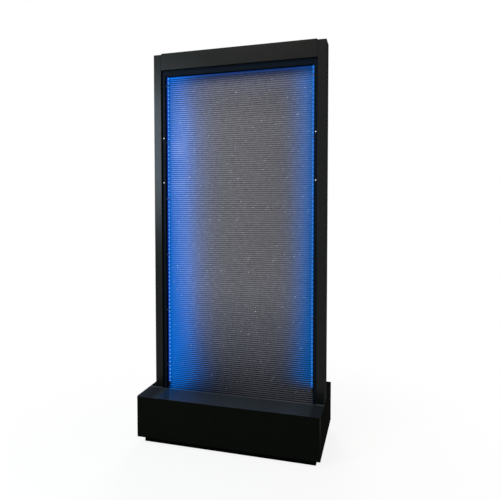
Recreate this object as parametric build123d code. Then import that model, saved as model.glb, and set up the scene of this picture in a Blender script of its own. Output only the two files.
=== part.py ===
"""Floor-standing water wall: a ribbed, side-lit panel in a folded metal frame, over a basin with a pump.

Millimetres. +X is the object's right as seen from the front, +Y is its back and +Z is up. The origin is on
the floor, at the middle of the base's footprint.
"""
import os
from math import atan2, degrees
from build123d import *

os.makedirs("parts", exist_ok=True)

# Overall sizes, and the folded sheet that the casing and the frame are made of
base_width = 1130
base_depth = 564
base_top = 300
total_height = 2438
sheet = 3
fold_radius = 2
seam = 1
overshoot = 1

left = -base_width / 2
right = base_width / 2
front = -base_depth / 2
back = base_depth / 2

# Plinth
plinth_height = 46
plinth_board = 18
plinth_side_inset = 30
plinth_front_inset = 45
cord_notch_width = 30

# Frame of two posts and a header, flush with the base's right side
post_width = 50
post_depth = 110
post_setback = 185
frame_left_margin = 36
lid_height = 6
lid_edge = 1
header_face_height = 98
header_slot_back = 0
cap_height = 3
cap_plug = 20
cap_wall = 2
cap_fit = 0.2
foot_plate = 10

frame_left = left + frame_left_margin
frame_right = right
post_front = front + post_setback
post_back = post_front + post_depth
post_top = total_height - lid_height
header_bottom = post_top - header_face_height
opening_left = frame_left + post_width
opening_right = frame_right - post_width
opening_middle = (opening_left + opening_right) / 2
post_columns = ((frame_left + opening_left) / 2, (frame_right + opening_right) / 2)

# Trim strips round the panel, open channels with mitred top corners
strip_setback = 14
strip_depth = 30
side_strip_width = 22
top_strip_height = 36
strip_wall = 2
strip_bottom = 262
strip_front = post_front + strip_setback
strip_back = strip_front + strip_depth

# Gaskets on the panel's edges
gasket_wall = 2.2
gasket_reach = 14
gasket_gap = 0.3

# Ribbed panel
rib_pitch = 12.7
rib_count = 166
rib_depth = 2.4
rib_crest = 4.5
panel_thickness = 8
panel_bottom = 254
panel_edge_gap = 6
panel_front = strip_back + gasket_wall + gasket_gap
panel_back = panel_front + panel_thickness
panel_top = panel_bottom + rib_count * rib_pitch
panel_left = opening_left + panel_edge_gap
panel_right = opening_right - panel_edge_gap
panel_notch_width = 28

# Angles behind the gaskets, and the rests under the panel's lower corners
angle_leg = 25
angle_bottom = 302
angle_top_gap = 4
angle_front = panel_back + gasket_gap + gasket_wall
rest_shelf = 4
rest_reach = 28
rest_height = 40
rest_lead = 1
rest_depth = 36

# Light strips: round clear rope with a lamp every inch, clipped to the inner faces of the side strips
rope_diameter = 12.7
rope_stand_off = 0.65
rope_gap = 0.3
rope_top = 2297
left_rope_bottom = 328
right_rope_bottom = 382
connector_diameter = 13.8
connector_length = 26
clip_strap = 1.2
rope_clip_width = 8
rope_clip_foot = 9
rope_clip_count = 6
rope_clip_lowest = 440
rope_clip_highest = 2240

rope_y = strip_back - rope_gap - rope_diameter / 2
rope_columns = (opening_left + side_strip_width + rope_stand_off + rope_diameter / 2,
                opening_right - side_strip_width - rope_stand_off - rope_diameter / 2)

# Deck and covers that close the top of the base
flange_width = 20
lip_thickness = 2
lip_depth = 10
lip_gap = 2
drip_lip_depth = 20
front_cover_depth = 165
rail_front = -6
rail_back = 19
rail_depth = 28
deck_under = base_top - sheet
support_top = deck_under - sheet
support_front = post_front + 7
support_back = post_back - 3

# Reservoir tub
tub_clearance = 5
tub_front = front + 10
tub_back = 160
tub_top = 230
tub_wall = 4
tub_draft = 10
tub_corner = 16
rim_reach = 3
tub_left = opening_left + tub_clearance
tub_right = opening_right - tub_clearance
base_floor = plinth_height + sheet
tub_floor = base_floor + tub_wall

# Pipe behind the panel
pipe_x = 400
pipe_y = -20
pipe_diameter = 25
pipe_bore = 19
pipe_bottom = 232
pipe_top = 2316
coupling_diameter = 31
coupling_below = 15
coupling_above = 11

# Pump, lying along X, with its spiral chamber tangent to the outlet under the pipe
pump_width = 84
pump_height = 88
pump_corner = 12
pump_bottom = 66
motor_length = 80
motor_end_chamfer = 4
motor_rib_count = 3
motor_rib_first = 30
motor_rib_last = 14
motor_groove = 4
motor_groove_depth = 2.5
volute_length = 24
volute_wall = 3
chamber_radius = 22
spiral_step = 2
outlet_diameter = 22
outlet_bore = 15
outlet_top = 190
inlet_diameter = 34
inlet_hub = 14
inlet_spoke = 5
strainer_length = 46
strainer_wall = 2.5
strainer_chamfer = 4
strainer_slot = 4
strainer_slot_margin = 14
strainer_face_slots = 7
strainer_side_slots = 3
shaft_diameter = 5
shaft_clearance = 0.05
bush_diameter = 9
bush_length = 4
rotor_diameter = 24
rotor_length = 50
rotor_gap = 1
rotor_end_gap = 2
impeller_diameter = 40
hub_diameter = 12
hub_gap = 3
blade_count = 6
blade_length = 12
blade_thickness = 2
foot_spread = 28
foot_inset = 14
cup_radius = 13
cup_neck = 6

pump_y = pipe_y - (chamber_radius + 4 * spiral_step - outlet_bore / 2)
pump_middle = pump_bottom + pump_height / 2
pump_top = pump_bottom + pump_height
foot_height = pump_bottom - tub_floor
volute_left = pipe_x - volute_length / 2
volute_right = pipe_x + volute_length / 2
motor_end = volute_right + motor_length
rotor_bore_end = volute_right + rotor_length + 2 * rotor_end_gap
strainer_left = volute_left - strainer_length

# Ball valve on the pump's outlet
valve_middle = 211
valve_bottom = 176
valve_top = 246
valve_hexagon = 42
valve_shoulder = 17
socket_hexagon = 34
ball_diameter = 27.4
ball_gap = 0.3
ball_bands = 8
stem_diameter = 8
stem_seat = 3
boss_diameter = 18
boss_start = -6
boss_end = 4
lever_gap = 1
lever_thickness = 4
lever_length = 62
lever_width = 14
lever_nut = 13
lever_nut_height = 3
grip_wall = 1.5
grip_cover = 1
grip_length = 26
stem_start = pipe_y + ball_diameter / 2 - stem_seat
lever_front = boss_end + lever_gap
lever_back = lever_front + lever_thickness

# Spray bar in the header
bar_y = post_front + 17
bar_height = 2350
bar_diameter = 20
bar_wall = 2
bar_end_gap = 17
slit_count = 20
slit_length = 16
slit_width = 1.2
slit_margin = 25
spray_angle = 15
bar_boss_back = -68
plug_wall = 1.5
plug_end = 4
plug_reach = 8
clip_count = 4
clip_width = 12
clip_wall = 2.5
clip_foot = 18
clip_foot_reach = 6
first_clip = 100
last_clip = 190

# Fasteners
strip_screw_heights = (1623, 1907)
strip_screw_diameter = 5
strip_screw_head = 9
strip_screw_head_height = 2.4
strip_screw_end = 5
nut_height = 4
head_chamfer = 0.4
back_screw_diameter = 4
back_screw_reach = 10
back_screw_count = 4
back_screw_lowest = 360
back_screw_highest = 2370
back_screw_head = 9
back_screw_head_height = 2.2
bolt_diameter = 10
bolt_clearance = 11
bolt_head = 19.6
bolt_head_height = 6.4
bolt_places_y = (post_front + 30, post_back - 30)
left_bolt_x = (frame_left + opening_left) / 2
right_bolt_x = opening_right + 16
header_screw_diameter = 5
header_screw_head = 9
header_screw_head_height = 3
header_screw_reach = 8
header_screw_height = 2400
header_screw_places_y = (-70, -14)
rest_screw_diameter = 4
rest_screw_head = 7.5
rest_screw_height = 276
rest_screw_places_y = (panel_front - rest_lead + 18, panel_front - rest_lead + 30)

# Rear panel
rear_sheet = 2
rear_panel_margin = 4

# Electrics in the dry bay behind the tub
driver_x = 235
driver_y = 222
driver_length = 170
driver_width = 60
driver_height = 38
driver_bottom = base_floor + 6
driver_groove_count = 6
driver_groove = 3
driver_groove_depth = 4
driver_groove_margin = 8
driver_cap = 4
bracket_margin = 4
bracket_ear = 22
bracket_foot = 16
gland_x = 420
gland_y = 195
gland_thread = 16
gland_bore = 8
gland_hexagon = 24
gland_hex_height = 8
gland_cap = 19
gland_cap_height = 12
gland_nut_height = 5
gland_thread_end = 9


def block(x, y, z):
    """A block between two limits on each axis."""
    size = [limits[1] - limits[0] for limits in (x, y, z)]
    middle = [sum(limits) / 2 for limits in (x, y, z)]
    return Pos(*middle) * Box(*size)


def upright(diameter, x, y, z):
    """A vertical cylinder between two heights."""
    return Pos(x, y, sum(z) / 2) * Cylinder(diameter / 2, z[1] - z[0])


def along_x(diameter, x, y, z):
    """A cylinder along X between two limits."""
    return Pos(sum(x) / 2, y, z) * Rot(0, 90, 0) * Cylinder(diameter / 2, x[1] - x[0])


def along_y(diameter, x, y, z):
    """A cylinder along Y between two limits."""
    return Pos(x, sum(y) / 2, z) * Rot(90, 0, 0) * Cylinder(diameter / 2, y[1] - y[0])


def hexagon_along_x(across_corners, x, y, z):
    """A hexagonal bar along X between two limits."""
    profile = Plane((x[0], y, z), x_dir=(0, 1, 0), z_dir=(1, 0, 0)) * RegularPolygon(across_corners / 2, 6)
    return extrude(profile, x[1] - x[0])


def hexagon_along_y(across_corners, x, y, z):
    """A hexagonal bar along Y between two limits."""
    profile = Plane((x, y[0], z), x_dir=(1, 0, 0), z_dir=(0, 1, 0)) * RegularPolygon(across_corners / 2, 6)
    return extrude(profile, y[1] - y[0])


def upright_hexagon(across_corners, x, y, z):
    """A vertical hexagonal bar between two heights, with two flats facing along Y."""
    return extrude(Pos(x, y, z[0]) * RegularPolygon(across_corners / 2, 6), z[1] - z[0])


def bevelled(width, depth, corner, inset=0):
    """A rectangle with bevelled corners, its outline moved in by an inset."""
    outline = chamfer(Rectangle(width, depth).vertices(), corner)
    return offset(outline, -inset, kind=Kind.INTERSECTION) if inset else outline


def around(middle, width):
    """The two limits of a width about its middle."""
    return (middle - width / 2, middle + width / 2)


def spread(first, last, count):
    """Evenly spaced values, both ends included."""
    return [first + (last - first) * step / (count - 1) for step in range(count)]


def mirrored(x):
    """The same place on the other side of the panel opening's middle."""
    return 2 * opening_middle - x


def both_sides(*limits):
    """X limits given for the left side, then the same limits mirrored to the right side."""
    return [tuple(limits), tuple(sorted(mirrored(x) for x in limits))]


def save(node, *solids):
    """Writes one named piece, which may be a group of separate solids."""
    shape = solids[0] if len(solids) == 1 else Compound(children=list(solids))
    export_step(shape, f"parts/{node}.step")


def plinth():
    """The recessed kick frame: four boards round an open middle, notched at the back for the cord."""
    x = (left + plinth_side_inset, right - plinth_side_inset)
    y = (front + plinth_front_inset, back - plinth_front_inset)
    inner_x = (x[0] + plinth_board, x[1] - plinth_board)
    inner_y = (y[0] + plinth_board, y[1] - plinth_board)
    boards = block(x, y, (0, plinth_height)) - block(inner_x, inner_y, (0, plinth_height))
    boards -= along_y(cord_notch_width, gland_x, (inner_y[1] - overshoot, y[1] + overshoot), 0)
    save("plinth", boards)


def base_housing():
    """The casing of the basin: folded walls and floor, with a flange turned in round its open top."""
    shell = block((left, right), (front, back), (plinth_height, deck_under))
    shell = fillet(shell.edges().filter_by(Axis.Z), fold_radius)
    shell -= block((left + sheet, right - sheet), (front + sheet, back - sheet), (base_floor, support_top))
    shell -= block((left + flange_width, right - flange_width), (front + flange_width, back - flange_width),
                   (support_top, deck_under))
    shell -= upright(gland_thread, gland_x, gland_y, (plinth_height, base_floor))
    save("base_housing", shell)


def reservoir_tub():
    """The moulded tub that holds the water, with bevelled corners, drafted walls and a small rim."""
    middle = ((tub_left + tub_right) / 2, (tub_front + tub_back) / 2)
    width = tub_right - tub_left
    depth = tub_back - tub_front

    def outline(height, inset):
        return Pos(*middle, height) * bevelled(width, depth, tub_corner, inset)

    def drafted(height, inset):
        rise = tub_top - height
        return extrude(outline(height, inset), rise, taper=-degrees(atan2(tub_draft, rise)))

    outside = drafted(base_floor, tub_draft)
    inside = drafted(tub_floor, tub_draft + tub_wall)
    rim = extrude(outline(tub_top - tub_wall, -rim_reach), tub_wall)
    save("reservoir_tub", outside + rim - inside)


def post_supports():
    """Channels inside the base that carry the posts: three walls, a foot and a head plate for the bolts."""
    y = (support_front, support_back)
    channels = (left + sheet + seam, opening_left - seam), (opening_right + seam, right - sheet - seam)
    head_inset = flange_width + seam
    heads = (left + head_inset, opening_left - seam), (opening_right + seam, right - head_inset)
    for side, x, head_x, bolt_x in zip(("left", "right"), channels, heads, (left_bolt_x, right_bolt_x)):
        inner_x = (x[0] + sheet, x[1] - sheet)
        channel = block(x, y, (base_floor, support_top))
        channel -= block(inner_x, (y[0], y[1] - sheet), (base_floor + sheet, support_top))
        channel += block(head_x, y, (support_top, deck_under))
        for bolt_y in bolt_places_y:
            channel -= upright(bolt_clearance, bolt_x, bolt_y, (support_top, deck_under))
        save(f"{side}_post_support", channel - rest_screw_shanks(side))


def frame_deck():
    """The plate across the base that the posts stand on: two pads and a rail behind the panel."""
    z = (deck_under, base_top)
    deck = block((left, opening_left), (post_front, rail_back), z)
    deck += block((opening_right, right), (post_front, rail_back), z)
    deck += block((opening_left, opening_right), (rail_front, rail_back), z)
    for y in ((rail_front, rail_front + sheet), (rail_back - sheet, rail_back)):
        deck += block((opening_left, opening_right), y, (base_top - rail_depth, base_top))
    for bolt_x in (left_bolt_x, right_bolt_x):
        for bolt_y in bolt_places_y:
            deck -= upright(bolt_clearance, bolt_x, bolt_y, z)
    save("frame_deck", deck)


def posts():
    """The two posts: box tubes with a foot plate inside, closed by push-in caps."""
    y = (post_front, post_back)
    z = (base_top, post_top - cap_height)
    for side, column, bolt_x in zip(("left", "right"), post_columns, (left_bolt_x, right_bolt_x)):
        x = around(column, post_width)
        inner_x = (x[0] + sheet, x[1] - sheet)
        inner_y = (y[0] + sheet, y[1] - sheet)
        tube = block(x, y, z)
        tube = fillet(tube.edges().filter_by(Axis.Z), fold_radius)
        tube -= block(inner_x, inner_y, (base_top + foot_plate, z[1]))
        for bolt_y in bolt_places_y:
            tube -= upright(bolt_diameter, bolt_x, bolt_y, (base_top, base_top + foot_plate))
        tube -= back_screw_shanks(column)
        tube -= header_screw_shanks(side)
        save(f"{side}_post", tube)

        cap = block(x, y, (z[1], post_top))
        cap = fillet(cap.edges().filter_by(Axis.Z), fold_radius)
        plug_x = (inner_x[0] + cap_fit, inner_x[1] - cap_fit)
        plug_y = (inner_y[0] + cap_fit, inner_y[1] - cap_fit)
        plug_z = (z[1] - cap_plug, z[1])
        cap += block(plug_x, plug_y, plug_z)
        cap -= block((plug_x[0] + cap_wall, plug_x[1] - cap_wall),
                     (plug_y[0] + cap_wall, plug_y[1] - cap_wall), plug_z)
        save(f"{side}_post_cap", cap)


def post_bolts():
    """Hexagon bolts that come up through the supports and the deck into the posts' foot plates."""
    bolts = []
    for bolt_x in (left_bolt_x, right_bolt_x):
        for bolt_y in bolt_places_y:
            head = upright_hexagon(bolt_head, bolt_x, bolt_y, (support_top - bolt_head_height, support_top))
            bolts.append(head + upright(bolt_diameter, bolt_x, bolt_y, (support_top, base_top + foot_plate)))
    save("post_bolts", *bolts)


def header_screw_limits():
    """The X limits of the header screws' shanks, left and right."""
    return both_sides(opening_left - header_screw_reach, opening_left + seam + sheet)


def header_screw_shanks(side):
    """The shanks of the two screws that join the header to one post."""
    x = header_screw_limits()[side == "right"]
    shanks = Part()
    for y in header_screw_places_y:
        shanks += along_x(header_screw_diameter, x, y, header_screw_height)
    return shanks


def header():
    """The header between the posts: an open-topped trough, slotted below for the panel and the pipe."""
    x = (opening_left + seam, opening_right - seam)
    y = (post_front, post_back)
    inner_x = (x[0] + sheet, x[1] - sheet)
    shell = block(x, y, (header_bottom, post_top))
    bottom_front = shell.edges().filter_by(Axis.X).sort_by(Axis.Z)[:2].sort_by(Axis.Y)[0]
    shell = fillet(bottom_front, fold_radius)
    shell -= block(inner_x, (y[0] + sheet, y[1] - sheet), (header_bottom + sheet, post_top))
    shell -= block(inner_x, (strip_back, header_slot_back), (header_bottom, header_bottom + sheet))
    shell -= header_screw_shanks("left") + header_screw_shanks("right")
    save("header_housing", shell)

    head_start = opening_left + seam + sheet
    screws = []
    head_limits = both_sides(head_start, head_start + header_screw_head_height)
    for shank_x, head_x in zip(header_screw_limits(), head_limits):
        for screw_y in header_screw_places_y:
            screws.append(along_x(header_screw_diameter, shank_x, screw_y, header_screw_height)
                          + hexagon_along_x(header_screw_head, head_x, screw_y, header_screw_height))
    save("header_screws", *screws)


def header_lid():
    """The lid of the header: a folded tray with bevelled ends and a skirt that drops inside the walls."""
    x = (opening_left + seam, opening_right - seam)
    y = (post_front, post_back)
    lid = block(x, y, (post_top, total_height))
    ends = lid.faces().sort_by(Axis.Z)[-1].edges().filter_by(Axis.Y)
    lid = chamfer(ends, lid_height - lid_edge)
    skirt_x = (x[0] + sheet + seam, x[1] - sheet - seam)
    skirt_y = (y[0] + sheet + seam, y[1] - sheet - seam)
    lid += block(skirt_x, skirt_y, (post_top - lip_depth, post_top))
    lid -= block((skirt_x[0] + lip_thickness, skirt_x[1] - lip_thickness),
                 (skirt_y[0] + lip_thickness, skirt_y[1] - lip_thickness),
                 (post_top - lip_depth, total_height - sheet))
    save("header_lid", lid)


def strip_screw_places():
    """The x and z of the four screws through the side strips."""
    columns = (opening_left + side_strip_width / 2, opening_right - side_strip_width / 2)
    return [(x, height) for x in columns for height in strip_screw_heights]


def strip_screw_holes():
    """Every hole for the screws through the side strips, the gaskets, the panel and the angles."""
    y = (strip_front - overshoot, angle_front + sheet + overshoot)
    holes = Part()
    for x, height in strip_screw_places():
        holes += along_y(strip_screw_diameter, x, y, height)
    return holes


def trim_strips():
    """The three strips round the panel: channels open to the back, with mitred corners at the top."""
    outer_top = header_bottom
    inner_top = header_bottom - top_strip_height
    inner_left = opening_left + side_strip_width
    inner_right = opening_right - side_strip_width

    def bar(*corners):
        profile = make_face(Polyline(*[(x, 0, z) for x, z in corners], close=True))
        return extrude(Pos(0, strip_front, 0) * profile, strip_depth, dir=(0, 1, 0))

    groove_y = (strip_front + strip_wall, strip_back)
    sides = both_sides(opening_left, inner_left)
    for side, x in zip(("left", "right"), sides):
        outer, inner = x if side == "left" else x[::-1]
        strip = bar((outer, strip_bottom), (inner, strip_bottom), (inner, inner_top), (outer, outer_top))
        strip -= block((x[0] + strip_wall, x[1] - strip_wall), groove_y, (strip_bottom, outer_top))
        save(f"{side}_side_strip", strip - strip_screw_holes())

    strip = bar((opening_left, outer_top), (inner_left, inner_top), (inner_right, inner_top),
                (opening_right, outer_top))
    strip -= block((opening_left, opening_right), groove_y, (inner_top + strip_wall, outer_top - strip_wall))
    save("top_strip", strip)


def strip_screws():
    """The bright pan-head screws that clamp the panel, each with its nut behind the angle."""
    nut_start = angle_front + sheet
    screws = []
    for x, height in strip_screw_places():
        head = along_y(strip_screw_head, x, (strip_front - strip_screw_head_height, strip_front), height)
        head = chamfer(head.edges().sort_by(Axis.Y)[0], head_chamfer * strip_screw_head_height)
        shank = along_y(strip_screw_diameter, x, (strip_front, nut_start + strip_screw_end), height)
        nut = hexagon_along_y(strip_screw_head, x, (nut_start, nut_start + nut_height), height)
        screws.append(head + shank + nut)
    save("strip_screws", *screws)


def ribbed_panel():
    """The panel that the water runs down: a sheet with a bevelled rib every half inch, from one profile."""
    valley = panel_front + rib_depth
    points = [(panel_back, panel_bottom), (valley, panel_bottom)]
    for rib in range(rib_count):
        start = panel_bottom + rib * rib_pitch
        crest = around(start + rib_pitch / 2, rib_crest)
        points += [(panel_front, crest[0]), (panel_front, crest[1]), (valley, start + rib_pitch)]
    points.append((panel_back, panel_top))
    outline = make_face(Polyline(*points, close=True))
    profile = Plane((panel_left, 0, 0), x_dir=(0, 1, 0), z_dir=(1, 0, 0)) * outline
    panel = extrude(profile, panel_right - panel_left)
    notch_z = (bar_height - panel_notch_width / 2, panel_top + overshoot)
    notch_y = (panel_front - overshoot, panel_back + overshoot)
    panel -= block(around(pipe_x, panel_notch_width), notch_y, notch_z)
    save("ribbed_panel", panel - strip_screw_holes())


def panel_edges():
    """Rubber channels on the panel's long edges, and the angles on the posts that it is clamped to."""
    inner_y = (panel_front - gasket_gap, panel_back + gasket_gap)
    outer_y = (inner_y[0] - gasket_wall, inner_y[1] + gasket_wall)
    start = panel_left - gasket_gap - gasket_wall
    rubbers = both_sides(start, start + gasket_reach)
    grooves = both_sides(panel_left - gasket_gap, start + gasket_reach)
    walls = both_sides(opening_left, opening_left + sheet)
    legs = both_sides(opening_left, opening_left + angle_leg)
    angle_z = (angle_bottom, header_bottom - angle_top_gap)
    holes = strip_screw_holes()
    for side, rubber, groove, wall, leg in zip(("left", "right"), rubbers, grooves, walls, legs):
        gasket = block(rubber, outer_y, (strip_bottom, header_bottom))
        gasket -= block(groove, inner_y, (strip_bottom, header_bottom))
        save(f"{side}_panel_gasket", gasket - holes)
        angle = block(wall, (angle_front, angle_front + angle_leg), angle_z)
        angle += block(leg, (angle_front, angle_front + sheet), angle_z)
        save(f"{side}_panel_angle", angle - holes)


def rest_screw_shanks(side):
    """The shanks of the two screws that hold one rest to its post support."""
    start = opening_left - seam
    x = both_sides(start - sheet, start + sheet)[side == "right"]
    shanks = Part()
    for y in rest_screw_places_y:
        shanks += along_x(rest_screw_diameter, x, y, rest_screw_height)
    return shanks


def panel_rests():
    """Small angles screwed to the post supports, whose shelves carry the panel's lower corners."""
    start = opening_left - seam
    y = (panel_front - rest_lead, panel_front - rest_lead + rest_depth)
    shelves = both_sides(start, start + rest_reach)
    walls = both_sides(start, start + sheet)
    shanks = both_sides(start - sheet, start + sheet)
    heads = both_sides(start + sheet, start + 2 * sheet)
    screws = []
    for side, shelf, wall, shank, head in zip(("left", "right"), shelves, walls, shanks, heads):
        rest = block(shelf, y, (panel_bottom - rest_shelf, panel_bottom))
        rest += block(wall, y, (panel_bottom, panel_bottom + rest_height))
        for screw_y in rest_screw_places_y:
            screws.append(along_x(rest_screw_diameter, shank, screw_y, rest_screw_height)
                          + hexagon_along_x(rest_screw_head, head, screw_y, rest_screw_height))
        save(f"{side}_panel_rest", rest - rest_screw_shanks(side))
    save("rest_screws", *screws)


def light_strips():
    """Rope lights beside the panel, their connectors at the bottom, and the clips on the side strips."""
    face = opening_left + side_strip_width
    feet = both_sides(face, face + clip_strap)
    saddles = both_sides(face, rope_columns[0])
    cuts = both_sides(face - rope_diameter, rope_columns[0])
    bottoms = (left_rope_bottom, right_rope_bottom)
    strap_diameter = rope_diameter + 2 * clip_strap
    connectors = []
    clips = []
    for index, side in enumerate(("left", "right")):
        column = rope_columns[index]
        bottom = bottoms[index]
        save(f"{side}_light_strip", upright(rope_diameter, column, rope_y, (bottom, rope_top)))
        connectors.append(upright(connector_diameter, column, rope_y, (bottom - connector_length, bottom)))
        for height in spread(rope_clip_lowest, rope_clip_highest, rope_clip_count):
            z = around(height, rope_clip_width)
            strap = upright(strap_diameter, column, rope_y, z)
            strap -= block(cuts[index], around(rope_y, 2 * strap_diameter), z)
            strap -= block(around(column, 2 * strap_diameter), (rope_y, rope_y + strap_diameter), z)
            strap += block(saddles[index], (rope_y - strap_diameter / 2, rope_y), z)
            strap += block(feet[index], (rope_y - strap_diameter / 2 - rope_clip_foot, rope_y), z)
            clips.append(strap - upright(rope_diameter, column, rope_y, z))
    save("light_connectors", *connectors)
    save("light_clips", *clips)


def front_ledge_cover():
    """The lift-off ledge before the panel: it wraps the posts' fronts and has a drip lip at its back edge."""
    y = (front, post_front - seam)
    edge_y = front + front_cover_depth
    cover = block((left, right), y, (deck_under, base_top))
    cover = fillet(cover.edges().filter_by(Axis.Z).sort_by(Axis.Y)[:2], fold_radius)
    cover -= block((opening_left, opening_right), (edge_y, y[1]), (deck_under, base_top))
    drip_x = (opening_left + lip_gap, opening_right - lip_gap)
    cover += block(drip_x, (edge_y - lip_thickness, edge_y), (base_top - drip_lip_depth, base_top))
    lip_z = (deck_under - lip_depth, deck_under)
    lip_x = (left + flange_width + lip_gap, right - flange_width - lip_gap)
    lip_y = (front + flange_width + lip_gap, y[1] - lip_gap)
    cover += block(lip_x, (lip_y[0], lip_y[0] + lip_thickness), lip_z)
    for x in ((lip_x[0], lip_x[0] + lip_thickness), (lip_x[1] - lip_thickness, lip_x[1])):
        cover += block(x, lip_y, lip_z)
    save("front_ledge_cover", cover)


def rear_cover():
    """The lift-off cover behind the wall, over the pump and the driver, with a locating lip all round."""
    y = (rail_back + seam, back)
    cover = block((left, right), y, (deck_under, base_top))
    cover = fillet(cover.edges().filter_by(Axis.Z).sort_by(Axis.Y)[-2:], fold_radius)
    lip_z = (deck_under - lip_depth, deck_under)
    lip_x = (left + flange_width + lip_gap, right - flange_width - lip_gap)
    lip_y = (y[0] + lip_gap, back - flange_width - lip_gap)
    cover += block(lip_x, lip_y, lip_z)
    cover -= block((lip_x[0] + lip_thickness, lip_x[1] - lip_thickness),
                   (lip_y[0] + lip_thickness, lip_y[1] - lip_thickness), lip_z)
    save("rear_cover", cover)


def back_screw_shanks(x):
    """The shanks of the screws that hold the rear panel to one post."""
    y = (post_back - back_screw_reach, post_back + rear_sheet)
    shanks = Part()
    for height in spread(back_screw_lowest, back_screw_highest, back_screw_count):
        shanks += along_y(back_screw_diameter, x, y, height)
    return shanks


def rear_panel():
    """The sheet that closes the back of the frame, and the screws along its two long edges."""
    x = (frame_left + rear_panel_margin, frame_right - rear_panel_margin)
    y = (post_back, post_back + rear_sheet)
    cover = block(x, y, (base_top + rear_panel_margin, post_top - rear_panel_margin))
    screws = []
    for column in post_columns:
        cover -= back_screw_shanks(column)
        for height in spread(back_screw_lowest, back_screw_highest, back_screw_count):
            head = hexagon_along_y(back_screw_head, column, (y[1], y[1] + back_screw_head_height), height)
            shank = along_y(back_screw_diameter, column, (post_back - back_screw_reach, y[1]), height)
            screws.append(head + shank)
    save("rear_panel", cover)
    save("rear_panel_screws", *screws)


def pump_plane(x):
    """The pump's cross-section plane at one place along X, with its own X along +Y and its own Y up."""
    return Plane((x, pump_y, pump_middle), x_dir=(0, 1, 0), z_dir=(1, 0, 0))


def pump_outline(x, inset=0):
    """The pump's section, a block with bevelled corners, extruded along X between two limits."""
    section = pump_plane(x[0]) * bevelled(pump_width, pump_height, pump_corner, inset)
    return extrude(section, x[1] - x[0])


def spiral_chamber(x):
    """The chamber round the impeller: four tangent quarter arcs, each wider than the last by one step."""
    quarters = [(1, 0), (0, 1), (-1, 0), (0, -1)]
    centre = Vector(0, 0)
    edges = []
    for turn, direction in enumerate(quarters):
        radius = chamber_radius + turn * spiral_step
        start = Vector(*direction)
        end = Vector(-start.Y, start.X)
        halfway = (start + end).normalized()
        edges.append(ThreePointArc(centre + start * radius, centre + halfway * radius, centre + end * radius))
        centre -= end * spiral_step
    edges.append(Line(edges[-1] @ 1, edges[0] @ 0))
    return extrude(pump_plane(x[0]) * make_face(edges), x[1] - x[0])


def pump_motor():
    """The sealed motor block with the rotor's bore, and ribs moulded round its closed end."""
    motor = pump_outline((volute_right, motor_end))
    motor = chamfer(motor.faces().sort_by(Axis.X)[-1].edges(), motor_end_chamfer)
    for x in spread(volute_right + motor_rib_first, motor_end - motor_rib_last, motor_rib_count):
        groove = (x, x + motor_groove)
        motor -= pump_outline(groove) - pump_outline(groove, motor_groove_depth)
    motor -= along_x(rotor_diameter + 2 * rotor_gap, (volute_right, rotor_bore_end), pump_y, pump_middle)
    motor -= along_x(bush_diameter, (rotor_bore_end, rotor_bore_end + bush_length), pump_y, pump_middle)
    save("pump_motor", motor)


def pump_volute():
    """The impeller's housing: a three-spoked inlet on one side and the outlet spigot on top."""
    volute = pump_outline((volute_left, volute_right))
    volute += upright(outlet_diameter, pipe_x, pipe_y, (pump_top, outlet_top))
    volute -= spiral_chamber((volute_left + volute_wall, volute_right))
    volute -= upright(outlet_bore, pipe_x, pipe_y, (pump_middle, outlet_top))
    inlet_x = (volute_left, volute_left + volute_wall)
    inlet = along_x(inlet_diameter, inlet_x, pump_y, pump_middle)
    inlet -= along_x(inlet_hub, inlet_x, pump_y, pump_middle)
    for turn in (0, 120, 240):
        spoke = Pos(0, 0, inlet_diameter / 4) * Box(volute_wall, inlet_spoke, inlet_diameter / 2)
        inlet -= Pos(sum(inlet_x) / 2, pump_y, pump_middle) * Rot(turn, 0, 0) * spoke
    volute -= inlet
    volute -= along_x(bush_diameter, inlet_x, pump_y, pump_middle)
    save("pump_volute", volute)


def pump_shaft():
    """The ceramic shaft that the rotor turns on, and the rubber bush at each end of it."""
    ends = (volute_left, volute_left + volute_wall), (rotor_bore_end, rotor_bore_end + bush_length)
    save("pump_shaft", along_x(shaft_diameter, (ends[0][0], ends[1][1]), pump_y, pump_middle))
    bushes = [along_x(bush_diameter, x, pump_y, pump_middle) - along_x(shaft_diameter, x, pump_y, pump_middle)
              for x in ends]
    save("shaft_bushes", *bushes)


def impeller():
    """The magnet rotor and its impeller, one moulding with a running bore. The vanes are straight,
    because such a motor may start either way round."""
    rotor_x = (volute_right + rotor_end_gap, volute_right + rotor_end_gap + rotor_length)
    hub_x = (volute_left + volute_wall + hub_gap, rotor_x[0])
    rotor = along_x(rotor_diameter, rotor_x, pump_y, pump_middle)
    rotor += along_x(hub_diameter, hub_x, pump_y, pump_middle)
    reach = impeller_diameter / 2
    vane = Pos(0, 0, reach / 2) * Box(blade_length, blade_thickness, reach)
    for step in range(blade_count):
        turned = Rot(step * 360 / blade_count, 0, 0) * vane
        rotor += Pos(hub_x[0] + blade_length / 2, pump_y, pump_middle) * turned
    bore = shaft_diameter + 2 * shaft_clearance
    save("impeller", rotor - along_x(bore, (hub_x[0], rotor_x[1]), pump_y, pump_middle))


def strainer_cover():
    """The slotted cover that pushes onto the pump's inlet side and keeps grit out."""
    cover = pump_outline((strainer_left, volute_left))
    cover = chamfer(cover.faces().sort_by(Axis.X)[0].edges(), strainer_chamfer)
    cover -= pump_outline((strainer_left + strainer_wall, volute_left), strainer_wall)
    slot_z = (pump_bottom + strainer_slot_margin, pump_top - strainer_slot_margin)
    slot_reach = pump_width / 2 - strainer_slot_margin
    for y in spread(pump_y - slot_reach, pump_y + slot_reach, strainer_face_slots):
        cover -= block((strainer_left, strainer_left + strainer_wall), around(y, strainer_slot), slot_z)
    ends = (strainer_left + strainer_slot_margin, volute_left - strainer_slot_margin)
    for x in spread(*ends, strainer_side_slots):
        cover -= block(around(x, strainer_slot), around(pump_y, pump_width), slot_z)
    save("strainer_cover", cover)


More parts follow.
